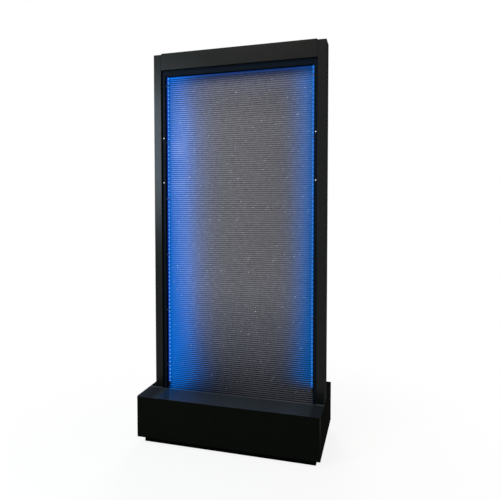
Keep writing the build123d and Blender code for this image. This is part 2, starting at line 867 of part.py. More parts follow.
def pump_feet():
    """Four rubber suction cups between the pump and the tub's floor."""
    feet = []
    for x in (volute_left + foot_inset, motor_end - foot_inset):
        for y in (pump_y - foot_spread, pump_y + foot_spread):
            feet.append(Pos(x, y, tub_floor + foot_height / 2) * Cone(cup_radius, cup_neck, foot_height))
    save("pump_feet", *feet)


def ball_valve():
    """The valve that sets the flow: a body of hexagonal bar with two sockets, the ball, and its lever."""
    shoulders = (valve_middle - valve_shoulder, valve_middle + valve_shoulder)
    body = upright_hexagon(socket_hexagon, pipe_x, pipe_y, (valve_bottom, valve_top))
    body += upright_hexagon(valve_hexagon, pipe_x, pipe_y, shoulders)
    body += along_y(boss_diameter, pipe_x, (boss_start, boss_end), valve_middle)
    body -= upright(pipe_bore, pipe_x, pipe_y, (outlet_top, pipe_bottom))
    body -= upright(outlet_diameter, pipe_x, pipe_y, (valve_bottom, outlet_top))
    body -= upright(pipe_diameter, pipe_x, pipe_y, (pipe_bottom, valve_top))
    chamber = ball_diameter + 2 * ball_gap
    body -= upright(chamber, pipe_x, pipe_y, around(valve_middle, chamber))
    body -= along_y(stem_diameter + 2 * shaft_clearance, pipe_x, (pipe_y, boss_end), valve_middle)
    save("valve_body", body)

    # The ball is turned in flat bands about its stem, since nothing shows of it
    bands = RegularPolygon(ball_diameter / 2, ball_bands, rotation=180 / ball_bands)
    bands &= Pos(ball_diameter / 2, 0) * Rectangle(ball_diameter, 2 * ball_diameter)
    ball = Pos(pipe_x, pipe_y, valve_middle) * revolve(bands, Axis.Y)
    ball -= upright(pipe_bore, pipe_x, pipe_y, around(valve_middle, 2 * ball_diameter))
    ball -= along_y(stem_diameter, pipe_x, (stem_start, boss_end), valve_middle)
    save("valve_ball", ball)

    lever_y = (lever_front, lever_back)
    nut_end = lever_back + lever_nut_height
    tip = valve_middle + lever_length - lever_width / 2
    arm = block(around(pipe_x, lever_width), lever_y, (valve_middle, tip))
    arm += along_y(lever_width, pipe_x, lever_y, tip)
    lever = along_y(stem_diameter, pipe_x, (stem_start, nut_end), valve_middle)
    lever += along_y(boss_diameter, pipe_x, lever_y, valve_middle)
    lever += hexagon_along_y(lever_nut, pipe_x, (lever_back, nut_end), valve_middle)
    save("valve_lever", lever + arm)

    sleeve_y = (lever_front - grip_cover, lever_back + grip_cover)
    grip = block(around(pipe_x, lever_width + 2 * grip_wall), sleeve_y, (tip - grip_length, tip))
    grip += along_y(lever_width + 2 * grip_wall, pipe_x, sleeve_y, tip)
    save("lever_grip", grip - arm)


def water_pipes():
    """The riser behind the panel, the mitred elbow over its notch, and the coupling that joins them."""
    riser_z = (pipe_bottom, pipe_top)
    riser = upright(pipe_diameter, pipe_x, pipe_y, riser_z) - upright(pipe_bore, pipe_x, pipe_y, riser_z)
    save("riser_pipe", riser)

    mitre = Plane((pipe_x, pipe_y, bar_height), z_dir=(0, 1, -1))

    def pipe_run(diameter):
        rise = upright(diameter, pipe_x, pipe_y, (pipe_top, bar_height + diameter))
        run = along_y(diameter, pipe_x, (bar_boss_back, pipe_y + diameter), bar_height)
        return split(rise, mitre, Keep.TOP) + split(run, mitre, Keep.BOTTOM)

    save("feed_elbow", pipe_run(pipe_diameter) - pipe_run(pipe_bore))

    coupling_z = (pipe_top - coupling_below, pipe_top + coupling_above)
    coupling = upright(coupling_diameter, pipe_x, pipe_y, coupling_z)
    save("pipe_coupling", coupling - upright(pipe_diameter, pipe_x, pipe_y, coupling_z))


def spray_bar():
    """The slit pipe along the top of the panel, its end plugs, and the clips that hold it to the header."""
    x = (opening_left + bar_end_gap, opening_right - bar_end_gap)
    bar = along_x(bar_diameter, x, bar_y, bar_height)
    bar += along_y(pipe_diameter, pipe_x, (bar_y, bar_boss_back), bar_height)
    bar -= along_x(bar_diameter - 2 * bar_wall, x, bar_y, bar_height)
    bar -= along_y(outlet_bore, pipe_x, (bar_y, bar_boss_back), bar_height)
    for slit_x in spread(x[0] + slit_margin, x[1] - slit_margin, slit_count):
        slit = Pos(0, 0, -bar_diameter / 2) * Box(slit_length, slit_width, 3 * bar_wall)
        bar -= Pos(slit_x, bar_y, bar_height) * Rot(90 - spray_angle, 0, 0) * slit
    save("spray_bar", bar)

    plugs = []
    plug_limits = both_sides(x[0] - plug_end, x[0] + plug_reach)
    sleeve_limits = both_sides(x[0], x[0] + plug_reach)
    for plug_x, sleeve_x in zip(plug_limits, sleeve_limits):
        plug = along_x(bar_diameter + 2 * plug_wall, plug_x, bar_y, bar_height)
        plugs.append(plug - along_x(bar_diameter, sleeve_x, bar_y, bar_height))
    save("spray_bar_plugs", *plugs)

    clips = []
    for middle in spread(x[0] + first_clip, x[1] - last_clip, clip_count):
        clip_x = around(middle, clip_width)
        clip = along_x(bar_diameter + 2 * clip_wall, clip_x, bar_y, bar_height)
        clip += block(clip_x, (post_front + sheet, bar_y - clip_foot_reach), around(bar_height, clip_foot))
        clips.append(clip - along_x(bar_diameter, clip_x, bar_y, bar_height))
    save("spray_bar_clips", *clips)


def electrics():
    """The light driver in its finned case on a bracket, and the cord's gland through the base's floor."""
    x = around(driver_x, driver_length)
    y = around(driver_y, driver_width)
    z = (driver_bottom, driver_bottom + driver_height)
    case = block(x, y, z)
    for groove_y in spread(y[0] + driver_groove_margin, y[1] - driver_groove_margin, driver_groove_count):
        case -= block(x, around(groove_y, driver_groove), (z[1] - driver_groove_depth, z[1]))
    save("light_driver", case)
    save("driver_end_caps", block((x[0] - driver_cap, x[0]), y, z), block((x[1], x[1] + driver_cap), y, z))

    plate_x = (x[0] - bracket_ear, x[1] + bracket_ear)
    plate_y = (y[0] - bracket_margin, y[1] + bracket_margin)
    bracket = block(plate_x, plate_y, (driver_bottom - sheet, driver_bottom))
    for foot_x in ((plate_x[0], plate_x[0] + bracket_foot), (plate_x[1] - bracket_foot, plate_x[1])):
        bracket += block(foot_x, plate_y, (base_floor, driver_bottom - sheet))
    save("driver_bracket", bracket)

    hex_z = (plinth_height - gland_hex_height, plinth_height)
    cap_z = (hex_z[0] - gland_cap_height, hex_z[0])
    thread_z = (plinth_height, base_floor + gland_thread_end)
    nut_z = (base_floor, base_floor + gland_nut_height)
    body = upright_hexagon(gland_hexagon, gland_x, gland_y, hex_z)
    body += upright_hexagon(gland_cap, gland_x, gland_y, cap_z)
    body += upright(gland_thread, gland_x, gland_y, thread_z)
    body -= upright(gland_bore, gland_x, gland_y, (cap_z[0], thread_z[1]))
    nut = upright_hexagon(gland_hexagon, gland_x, gland_y, nut_z)
    nut -= upright(gland_thread, gland_x, gland_y, nut_z)
    save("cable_gland", body, nut)


plinth()
base_housing()
reservoir_tub()
post_supports()
frame_deck()
posts()
post_bolts()
header()
header_lid()
trim_strips()
strip_screws()
ribbed_panel()
panel_edges()
panel_rests()
light_strips()
front_ledge_cover()
rear_cover()
rear_panel()
pump_motor()
pump_volute()
pump_shaft()
impeller()
strainer_cover()
pump_feet()
ball_valve()
water_pipes()
spray_bar()
electrics()
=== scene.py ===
"""A floor-standing water wall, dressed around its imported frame.

Metres, in the part's own frame: +X is the object's right as seen from the front, +Y is its back and
+Z is up.
"""

import math
import random
import bpy
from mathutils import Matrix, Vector


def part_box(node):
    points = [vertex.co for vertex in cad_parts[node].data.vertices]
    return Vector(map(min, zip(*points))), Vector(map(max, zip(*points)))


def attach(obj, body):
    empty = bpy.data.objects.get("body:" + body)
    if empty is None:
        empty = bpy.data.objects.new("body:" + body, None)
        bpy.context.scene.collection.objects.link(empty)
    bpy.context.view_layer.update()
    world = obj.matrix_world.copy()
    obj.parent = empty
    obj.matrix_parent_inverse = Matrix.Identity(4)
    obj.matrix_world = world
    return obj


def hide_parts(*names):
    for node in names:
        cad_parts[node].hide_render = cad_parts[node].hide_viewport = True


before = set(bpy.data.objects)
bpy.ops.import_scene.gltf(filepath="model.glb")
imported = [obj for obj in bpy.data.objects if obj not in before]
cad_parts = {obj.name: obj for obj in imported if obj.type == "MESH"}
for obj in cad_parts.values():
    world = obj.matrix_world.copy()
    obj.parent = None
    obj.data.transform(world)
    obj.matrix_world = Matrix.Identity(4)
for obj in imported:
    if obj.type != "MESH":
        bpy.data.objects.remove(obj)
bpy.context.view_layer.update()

# The view: a wide lens at eye height, to the right of the object's middle and turned towards it.
# It looks down by two degrees, and the shift is what the photograph's framing needs.
lens = bpy.data.cameras.new("camera")
lens.sensor_width = 36
lens.lens = 33.74
lens.shift_x = 0.0020
lens.shift_y = -0.0433
camera = bpy.data.objects.new("camera", lens)
camera.location = (0.8739, -2.8447, 1.4436)
camera.rotation_euler = (math.radians(90 - 2.15), 0, math.radians(15.69))
bpy.context.scene.collection.objects.link(camera)
bpy.context.scene.camera = camera
bpy.context.scene.view_settings.view_transform = "Standard"


# The room: even and dim on the object, and plain white where the camera, a reflection or a pane
# looks at it, so that the background is white without more light on the object.
class Socket:
    """One output of a shader node, which takes part in Python sums."""

    def __init__(self, paint, output):
        self.paint = paint
        self.output = output

    def math(self, operation, *values):
        return self.paint.node("Math", {"operation": operation}, dict(enumerate(values)))

    def __add__(self, other):
        return self.math("ADD", self, other)

    def __radd__(self, other):
        return self.math("ADD", other, self)

    def __sub__(self, other):
        return self.math("SUBTRACT", self, other)

    def __rsub__(self, other):
        return self.math("SUBTRACT", other, self)

    def __mul__(self, other):
        return self.math("MULTIPLY", self, other)

    def __rmul__(self, other):
        return self.math("MULTIPLY", other, self)

    def __truediv__(self, other):
        return self.math("DIVIDE", self, other)

    def __rtruediv__(self, other):
        return self.math("DIVIDE", other, self)

    def __pow__(self, other):
        return self.math("POWER", self, other)

    def __gt__(self, other):
        return self.math("GREATER_THAN", self, other)

    def __lt__(self, other):
        return self.math("LESS_THAN", self, other)


class Paint:
    """A node tree that one surface or the room is painted with, and the ways to add nodes to it."""

    def __init__(self, name=None):
        holder = bpy.data.materials.new(name) if name else bpy.data.worlds.new("room")
        holder.use_nodes = True
        self.holder = holder
        self.nodes = holder.node_tree.nodes
        self.links = holder.node_tree.links
        self.shader = self.nodes.get("Principled BSDF") or self.nodes.get("Background")
        self.end = self.nodes.get("Material Output") or self.nodes.get("World Output")

    def feed(self, target, value):
        if isinstance(value, Socket):
            self.links.new(value.output, target)
        else:
            target.default_value = value

    def node(self, kind, settings, inputs, output=0):
        made = self.nodes.new("ShaderNode" + kind)
        for key, value in settings.items():
            setattr(made, key, value)
        for key, value in inputs.items():
            self.feed(made.inputs[key], value)
        return Socket(self, made.outputs[output])

    def set(self, **inputs):
        for key, value in inputs.items():
            self.feed(self.shader.inputs[key.replace("_", " ")], value)

    def place(self):
        """The point on the piece, in the part's own frame."""
        return self.node("TexCoord", {}, {}, "Object")

    def axis(self, place, axis):
        return self.node("SeparateXYZ", {}, {0: place}, axis)

    def facing(self, axis):
        """How far the surface faces along one axis of the part, from -1 to 1."""
        return self.axis(self.node("TexCoord", {}, {}, "Normal"), axis)

    def vector(self, x, y, z):
        return self.node("CombineXYZ", {}, {0: x, 1: y, 2: z})

    def stretch(self, place, x, y, z):
        """The place with each axis scaled, for grain that runs one way."""
        return self.node("VectorMath", {"operation": "MULTIPLY"}, {0: place, 1: (x, y, z)})

    def noise(self, place, scale, detail=2.0):
        return self.node("TexNoise", {}, {"Vector": place, "Scale": scale, "Detail": detail})

    def step(self, value, start, end, low=0.0, high=1.0, kind="SMOOTHSTEP"):
        """Goes from low to high as value goes from start to end."""
        limits = {"Value": value, "From Min": start, "From Max": end, "To Min": low, "To Max": high}
        return self.node("MapRange", {"interpolation_type": kind}, limits)

    def mix(self, factor, first, second):
        """A colour between two colours."""
        return self.node("Mix", {"data_type": "RGBA"}, {0: factor, 6: first, 7: second}, 2)

    def add(self, first, second):
        """The sum of two colours."""
        settings = {"data_type": "RGBA", "blend_type": "ADD"}
        return self.node("Mix", settings, {0: 1.0, 6: first, 7: second}, 2)

    def bump(self, height, depth, strength):
        return self.node("Bump", {}, {"Height": height, "Distance": depth, "Strength": strength})

    def seen(self):
        """1 for what the camera, a reflection or a pane sees, and 0 for light on the object."""
        kinds = ("Is Camera Ray", "Is Glossy Ray", "Is Transmission Ray")
        camera_ray, glossy, transmission = [self.node("LightPath", {}, {}, kind) for kind in kinds]
        return camera_ray.math("MINIMUM", camera_ray + glossy + transmission, 1.0)


def grey(level):
    return (level, level, level, 1.0)


room = Paint()
room_light = 0.26
room.set(Color=grey(1.0), Strength=room_light + (1.0 - room_light) * room.seen())
bpy.context.scene.world = room.holder

# The floor: a wide pale sheet that keeps a faint shadow of the object round its base, and fades
# into the white of the room further out.
floor_half = 30.0
floor_shadow = 0.13
shadow_full = 0.7
shadow_gone = 2.0
floor_mesh = bpy.data.meshes.new("floor")
floor_corners = [(x * floor_half, y * floor_half, 0.0) for x, y in ((-1, -1), (1, -1), (1, 1), (-1, 1))]
floor_mesh.from_pydata(floor_corners, [], [(0, 1, 2, 3)])
floor = bpy.data.objects.new("floor", floor_mesh)
bpy.context.scene.collection.objects.link(floor)
floor_paint = Paint("pale_floor")
spot = floor_paint.place()
reach = floor_paint.node("VectorMath", {"operation": "LENGTH"}, {0: spot}, 1)
fade = floor_paint.step(reach, shadow_full, shadow_gone, 1.0 - floor_shadow, 1.0)
tone = floor_paint.noise(spot, 6.0)
floor_paint.set(Base_Color=floor_paint.mix(tone, grey(0.80), grey(0.86)), Roughness=0.9)
white = floor_paint.node("Emission", {}, {"Color": grey(1.0), "Strength": 1.0})
lit = Socket(floor_paint, floor_paint.shader.outputs[0])
both = floor_paint.node("MixShader", {}, {0: floor_paint.seen() * fade, 1: lit, 2: white})
floor_paint.links.new(both.output, floor_paint.end.inputs[0])
floor_mesh.materials.append(floor_paint.holder)


# The studio's lamps: a cool window light on the left, a warmer soft box high in front, and plain
# soft boxes behind and to the right, each of them wide enough for a soft edge to its shadow.
def soft_light(name, place, aim, width, height, power, colour):
    """A soft light of a width, height and power that faces a point."""
    light = bpy.data.lights.new(name, "AREA")
    light.shape = "RECTANGLE"
    light.size = width
    light.size_y = height
    light.energy = power
    light.color = colour
    lamp = bpy.data.objects.new(name, light)
    lamp.location = place
    lamp.rotation_mode = "QUATERNION"
    lamp.rotation_quaternion = (Vector(place) - Vector(aim)).to_track_quat("Z", "Y")
    bpy.context.scene.collection.objects.link(lamp)


soft_light("window_light", place=(-1.95, -2.9, 2.2), aim=(-0.3, 0.0, 1.8), width=0.9, height=1.6,
           power=78.0, colour=(0.68, 0.85, 1.0))
soft_light("top_light", place=(-0.7, -2.7, 4.7), aim=(0.0, 0.0, 1.6), width=1.6, height=1.6,
           power=85.0, colour=(1.0, 0.95, 0.86))
soft_light("back_light", place=(-0.9, 4.2, 2.8), aim=(0.0, 0.0, 1.2), width=1.8, height=1.8,
           power=150.0, colour=(1.0, 1.0, 1.0))
soft_light("side_light", place=(4.2, 0.7, 2.4), aim=(0.0, 0.0, 1.2), width=1.8, height=1.8,
           power=48.0, colour=(1.0, 0.98, 0.92))


# The plinth: a recessed kick frame of boards that carries the whole base clear of the floor.
# It is painted matt black, with a little of the board's grain left in the paint.
def coat(paint, *nodes):
    """Gives a finish to pieces that keep the frame's own shape."""
    for node in nodes:
        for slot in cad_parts[node].material_slots:
            slot.material = paint.holder


board = Paint("painted_board")
grain = board.noise(board.stretch(board.place(), 4.0, 4.0, 60.0), 3.0, 4.0)
board.set(Base_Color=board.mix(grain, grey(0.0012), grey(0.0035)), Roughness=0.7,
          Specular_IOR_Level=0.0, Normal=board.bump(grain, 0.0004, 0.5))
coat(board, "plinth")

# The basin's casing: folded sheet with a baked black powder coat, nearly dead matt. The coat has a
# fine orange peel and faint clouds in its colour and its gloss, and one fold has a painted highlight.
fold_glint_width = 0.006
fold_glint_full = 0.001
fold_glint_height = 0.20
orange_peel = 0.00012


def powder_coat(name, low, high, gloss, front_shine, side_shine=0.0, corner=None):
    """Black powder paint between two colours, with an orange-peel skin and a gloss for each side.

    An upright fold can carry a painted highlight, brightest at its top, which is the corner.
    """
    paint = Paint(name)
    spot = paint.place()
    cloud = paint.noise(spot, 5.0, 3.0)
    peel = paint.noise(spot, 900.0, 1.0)
    smudge = paint.noise(spot, 22.0, 3.0)
    shine = paint.step(-1.0 * paint.facing("Y"), 0.5, 0.9, side_shine, front_shine)
    colour = paint.mix(cloud, low, high)
    if corner:
        # A painted highlight on the fold, standing for light that the rounded edge catches.
        fold_glint = paint.step(paint.axis(spot, "X"), corner.x - fold_glint_width, corner.x - fold_glint_full)
        fold_glint = fold_glint * paint.step(paint.axis(spot, "Y"), corner.y + fold_glint_width, corner.y + fold_glint_full)
        fold_glint = fold_glint * paint.step(paint.axis(spot, "Z"), corner.z - fold_glint_height, corner.z, 0.12, 1.0)
        colour = paint.mix(fold_glint, colour, grey(0.030))
    paint.set(Base_Color=colour, Roughness=gloss + 0.10 * (smudge - 0.5),
              Specular_IOR_Level=0.0, Coat_Weight=shine * (0.85 + 0.3 * smudge), Coat_Roughness=0.27,
              Normal=paint.bump(peel, orange_peel, 0.6))
    return paint


casing_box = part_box("base_housing")
casing_corner = Vector((casing_box[1].x, casing_box[0].y, casing_box[1].z))
base_black = powder_coat("powder_coat_base", (0.0022, 0.0028, 0.0020, 1), (0.0036, 0.0042, 0.0031, 1),
                         gloss=0.6, front_shine=0.02, side_shine=0.007, corner=casing_corner)
coat(base_black, "base_housing")

# The deck plate under the posts and the lift-off rear cover: the same sheet, a shade greyer where
# dust settles on it.
dusty_black = powder_coat("powder_coat_covers", (0.0045, 0.005, 0.0045, 1), (0.0075, 0.008, 0.0075, 1),
                          gloss=0.6, front_shine=0.02)
coat(dusty_black, "rear_cover", "frame_deck")

# The lift-off ledge in front of the panel: wiped to a satin gloss between the posts, so that it
# mirrors the lit panel, and matt and darker at its ends. The drip edge, where the water falls past
# it, has a painted highlight, and near the left lamps there is a painted blue glow over a colour
# painted darker and bluer.
ledge_depth = 0.165
drip_highlight_half = 0.003
wiped_to = 0.40
matt_from = 0.455
lamps_reach = -0.32
lamps_full = -0.43
drip_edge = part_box("front_ledge_cover")[0].y + ledge_depth
satin = Paint("powder_coat_ledge")
spot = satin.place()
x = satin.axis(spot, "X")
y = satin.axis(spot, "Y")
cloud = satin.noise(spot, 5.0, 3.0)
smudge = satin.noise(satin.stretch(spot, 1.0, 3.0, 1.0), 14.0, 3.0)
peel = satin.noise(spot, 900.0, 1.0)
upward = satin.step(satin.facing("Z"), 0.5, 0.9)
# A painted highlight along the drip edge.
drip_highlight = (y > drip_edge - drip_highlight_half) * (y < drip_edge + drip_highlight_half)
wiped = satin.step(x.math("ABSOLUTE", x), matt_from, wiped_to)
painted_lamp_blue = satin.step(x, lamps_reach, lamps_full)
dark_ends = 0.42 * satin.step(x, 0.485, 0.515) + 0.28 * satin.step(x, -matt_from, -0.485)
tint = satin.mix(cloud, (0.020, 0.025, 0.031, 1), (0.028, 0.034, 0.041, 1))
tint = satin.mix(dark_ends, tint, grey(0.0))
# Painted shade and a painted blue glow near the left lamps.
tint = satin.mix(painted_lamp_blue * wiped * 0.85, tint, (0.002, 0.004, 0.010, 1))
satin.set(Base_Color=satin.mix(drip_highlight * 0.7, tint, grey(0.12)), Roughness=0.5, Specular_IOR_Level=0.0,
          Coat_Weight=upward * wiped * (0.65 + 0.5 * smudge), Coat_Roughness=0.22,
          Emission_Color=satin.mix(painted_lamp_blue * wiped * upward, grey(0.0), (0.0, 0.014, 0.045, 1)),
          Emission_Strength=1.0, Normal=satin.bump(peel, orange_peel, 0.5))
coat(satin, "front_ledge_cover")

# The frame: two box posts, the header trough between them and its lift-off lid, in the same powder
# coat with a satin gloss, and the sheet that closes the back. The posts' caps are moulded to match.
frame_black = powder_coat("powder_coat_frame", (0.0034, 0.0040, 0.0034, 1), (0.0065, 0.0072, 0.0064, 1),
                          gloss=0.5, front_shine=0.23, side_shine=0.03)
coat(frame_black, "left_post", "right_post", "header_housing", "header_lid",
     "left_post_cap", "right_post_cap")
rear_black = powder_coat("powder_coat_rear", (0.009, 0.010, 0.009, 1), (0.014, 0.015, 0.014, 1),
                         gloss=0.5, front_shine=0.1, side_shine=0.2)
coat(rear_black, "rear_panel")

# The trim round the panel: three aluminium channels, cut to a mitre and coated a cooler black.
# Inside the opening they keep dark, because the lamps stand behind their front edges.
trim = powder_coat("powder_coat_trim", (0.0034, 0.0060, 0.0098, 1), (0.0056, 0.0085, 0.0135, 1),
                   gloss=0.5, front_shine=0.02)
coat(trim, "left_side_strip", "right_side_strip", "top_strip")

# The ribbed panel that the water runs down: smoky sheet with a round rib about every half inch, wet
# and lit from both sides. It is drawn finer than the frame's own panel, which it stands for.
panel_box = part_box("ribbed_panel")
rib_count = 163
rib_pitch = (panel_box[1].z - panel_box[0].z) / rib_count
rib_depth = 0.0024
rib_steps = 8
feed_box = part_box("feed_elbow")
bar_height = 2.350
notch_half = 0.014
notch_middle = (feed_box[0].x + feed_box[1].x) / 2
notch_bottom = bar_height - notch_half


def rib_profile():
    """The front surface's points in y and z, from the bottom rib to the top one."""
    points = []
    radius = ((rib_pitch / 2) ** 2 + rib_depth ** 2) / (2 * rib_depth)
    for step in range(rib_count * rib_steps + 1):
        across = (step % rib_steps) / rib_steps - 0.5
        rise = math.sqrt(radius ** 2 - (across * rib_pitch) ** 2) - (radius - rib_depth)
        points.append((panel_box[0].y + rib_depth - rise, panel_box[0].z + step * rib_pitch / rib_steps))
    return points


def make_piece(name, vertices, faces, paint, slot, smooth_angle):
    """A new piece on the base from vertices and faces, with its finish, smooth but for sharp edges."""
    mesh = bpy.data.meshes.new(name)
    mesh.from_pydata(vertices, [], faces)
    mesh.validate()
    mesh.polygons.foreach_set("use_smooth", [True] * len(mesh.polygons))
    mesh.set_sharp_from_angle(angle=math.radians(smooth_angle))
    mesh.materials.append(paint.holder)
    piece = bpy.data.objects.new(name, mesh)
    bpy.context.scene.collection.objects.link(piece)
    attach(piece, "base")
    return piece


def panel_mesh():
    """The panel's closed skin, in three strips, the middle one cut down to the feed pipe's notch."""
    columns = [panel_box[0].x, notch_middle - notch_half, notch_middle + notch_half, panel_box[1].x]
    profile = rib_profile()
    rows = len(profile)
    vertices = [(x, y, z) for x in columns for y, z in profile]
    vertices += [(x, panel_box[1].y, z) for x in columns for y, z in profile]
    notch_row = next(row for row in range(rows) if profile[row][1] >= notch_bottom)
    back = len(columns) * rows
    faces = []
    for column in range(len(columns) - 1):
        top_row = notch_row if column == 1 else rows - 1
        here = column * rows
        there = here + rows
        for row in range(top_row):
            front = (here + row, there + row, there + row + 1, here + row + 1)
            faces.append(front)
            faces.append(tuple(back + corner for corner in reversed(front)))
        faces.append((here + top_row, there + top_row, back + there + top_row, back + here + top_row))
        faces.append((back + here, back + there, there, here))
    for column, first_row, faces_left in ((0, 0, True), (1, notch_row, False),
                                          (2, notch_row, True), (3, 0, False)):
        here = column * rows
        for row in range(first_row, rows - 1):
            wall = (here + row, here + row + 1, back + here + row + 1, back + here + row)
            faces.append(wall if faces_left else wall[::-1])
    return vertices, faces


def bell(distance, width):
    """1 where the distance is 0, falling off smoothly to both sides of it."""
    ratio = distance / width
    return ratio.math("EXPONENT", ratio * ratio * -1.0)


def clear_of_lamps(distance, width, power):
    """0 beside the lamps and 1 well away from them."""
    ratio = distance.math("MAXIMUM", distance, 0.0) / width
    return 1.0 - ratio.math("EXPONENT", (ratio ** power) * -1.0)


left_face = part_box("left_side_strip")[1].x
right_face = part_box("right_side_strip")[0].x
strip_overlap = 0.008
opening_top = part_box("top_strip")[0].z + strip_overlap
wet = Paint("wet_ribbed_sheet")
spot = wet.place()
x = wet.axis(spot, "X")
z = wet.axis(spot, "Z")
rib_place = (z - panel_box[0].z) / rib_pitch
rib_number = rib_place.math("FLOOR", rib_place)
rib_phase = rib_place - rib_number
crest = 1.0 - rib_phase.math("ABSOLUTE", rib_phase - 0.5) * 2.0

# Each rib's crest is painted lighter and its valley darker, a painted highlight and shade, in short
# runs where the water is thinner, and more sharply low down and beside the left lamps
runs_per_metre = 34.0
rib_shift = 3.7
flow = wet.noise(wet.vector(x * runs_per_metre, rib_number * rib_shift, 0.0), 1.0, 2.0)
soft_rib_highlight = wet.step(crest, 0.05, 0.70, 0.55, 1.22)
sharp_rib_highlight = wet.step(crest, 0.35, 0.95, 0.30, 2.3)
from_left = x - left_face
from_right = right_face - x
sharpness = z.math("MAXIMUM", wet.step(z, 0.75, 0.40), 0.7 * bell(from_left, 0.15))
rib_highlight = (soft_rib_highlight + (sharp_rib_highlight - soft_rib_highlight) * sharpness) * (0.72 + 0.56 * flow)

# Its grey carries painted light and shade: painted shade darkens it low down and under the top
# strip, it fades close to the lamps, and two pale painted reflections lie by the left lamps
# Painted shade under the top strip, then a painted light level that is darker low down.
top_strip_shade = wet.step(z, opening_top, opening_top - 0.10, 0.2, 1.0)
foot_grey = 0.048
main_grey = 0.136
top_loss = 0.018
level = wet.step(z, 0.38, 0.95, foot_grey, main_grey, "LINEAR") - wet.step(z, 1.95, 2.15, 0.0, top_loss)
level = level * top_strip_shade
softness = wet.step(z, 0.5, 1.6, 2.0, 1.0, "LINEAR")
from_top = opening_top - z
left_clear = clear_of_lamps(from_left, 0.012 + 0.114 / z + 0.09 * bell(from_top, 0.13), softness)
right_clear = clear_of_lamps(from_right, 0.055 + 0.04 / z, softness)
reflection_x = -0.39
upper_reflection = 1.84
lower_reflection = 1.61
# Two painted reflections: pale patches on the grey.
reflection_patches = bell(x - reflection_x, 0.055) * (bell(z - upper_reflection, 0.06) + 0.6 * bell(z - lower_reflection, 0.05))
right_dark = (1.0 - right_clear) * wet.step(z, 0.33, 0.45)
greyness = left_clear.math("MINIMUM", left_clear * (1.0 - right_dark) + reflection_patches * 0.35, 1.0)
cool_grey = wet.mix(wet.step(z, 0.4, 1.2), (1.0, 0.97, 1.13, 1), (1.0, 0.93, 0.98, 1))
shade = wet.mix(level * greyness * rib_highlight, grey(0.0), cool_grey)

# The blue that the lamps throw into it is painted on as a glow, strongest at the sides and along the
# top, and by the left lamps every second rib takes more of it
left_blue = (0.0, 0.130, 0.60, 1)
right_blue = (0.0, 0.090, 0.36, 1)
top_blue = (0.0, 0.060, 0.36, 1)
left_lamps = wet.step(z, 0.20, 0.45) * wet.step(z, 1.45, 1.05, 1.0, 1.1)
right_lamps = wet.step(z, 0.34, 0.46)
left_shape = bell(from_left, 0.19) + bell(from_left, 0.10)
left_glow = left_shape * left_lamps * wet.step(from_top, 0.0, 0.4, 0.42, 1.0) * rib_highlight
left_glow = left_glow * wet.step(from_left, 0.0, 0.035, 0.5, 1.0)
every_second = rib_number.math("FLOORED_MODULO", rib_number, 2.0) - 0.5
left_glow = left_glow * (1.0 + 0.5 * every_second * bell(from_left, 0.07))
right_glow = bell(from_right, 0.115) * right_lamps * top_strip_shade * rib_highlight
right_glow = right_glow * wet.step(from_right, 0.0, 0.02, 0.8, 1.0)
top_glow = (bell(from_top, 0.018) + 0.25 * bell(from_top, 0.14) * rib_highlight) * (1.0 + bell(from_left, 0.2))
glow = wet.mix(left_glow, grey(0.0), left_blue)
glow = wet.add(glow, wet.mix(right_glow, grey(0.0), right_blue))
glow = wet.add(glow, wet.mix(top_glow * 0.5, grey(0.0), top_blue))
wet.set(Base_Color=shade, Roughness=0.30 + 0.15 * flow, Specular_IOR_Level=0.03,
        Emission_Color=glow, Emission_Strength=1.0, Normal=wet.bump(flow, 0.0006, 0.5))
wet_panel = make_piece("water_panel", *panel_mesh(), wet, "ribbed_sheet", smooth_angle=40)
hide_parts("ribbed_panel")

# The water's drops: beads that stand on the ribs, a few of them drawn out aslant as they run.
# They are clear water, with painted glints that make them white specks, fainter low down.
drop_count = 640
streak_count = 40
drop_rings = 3
drop_sides = 8
drop_seat = 0.0006
thinnest_drop = 0.0008
widest_drop = 0.0020
bead_stretch = (0.9, 1.3)
streak_half_length = (0.006, 0.012)
streak_lean = (0.5, 1.0)
bare_ribs_below = 4
bare_ribs_above = 8
bare_left = 0.03
bare_right = 0.02
dice = random.Random(7)


def drop_mesh(places):
    """Half-round beads, each with its own width, length and lean."""
    vertices = []
    faces = []
    for x, z, half_width, half_length, lean in places:
        first = len(vertices)
        y = panel_box[0].y + drop_seat
        for ring in range(drop_rings):
            tilt = ring / drop_rings * math.pi / 2
            for side in range(drop_sides):
                turn = side / drop_sides * 2 * math.pi
                across = half_width * math.cos(tilt) * math.cos(turn)
                along = half_length * math.cos(tilt) * math.sin(turn)
                vertices.append((x + across * math.cos(lean) + along * math.sin(lean),
                                 y - half_width * math.sin(tilt),
                                 z - across * math.sin(lean) + along * math.cos(lean)))
        tip = len(vertices)
        vertices.append((x, y - half_width, z))
        faces.append(tuple(first + side for side in range(drop_sides)))
        for ring in range(drop_rings - 1):
            low = first + ring * drop_sides
            for side in range(drop_sides):
                after = (side + 1) % drop_sides
                faces.append((low + after, low + side, low + drop_sides + side, low + drop_sides + after))
        low = first + (drop_rings - 1) * drop_sides
        faces += [(low + (side + 1) % drop_sides, low + side, tip) for side in range(drop_sides)]
    return vertices, faces


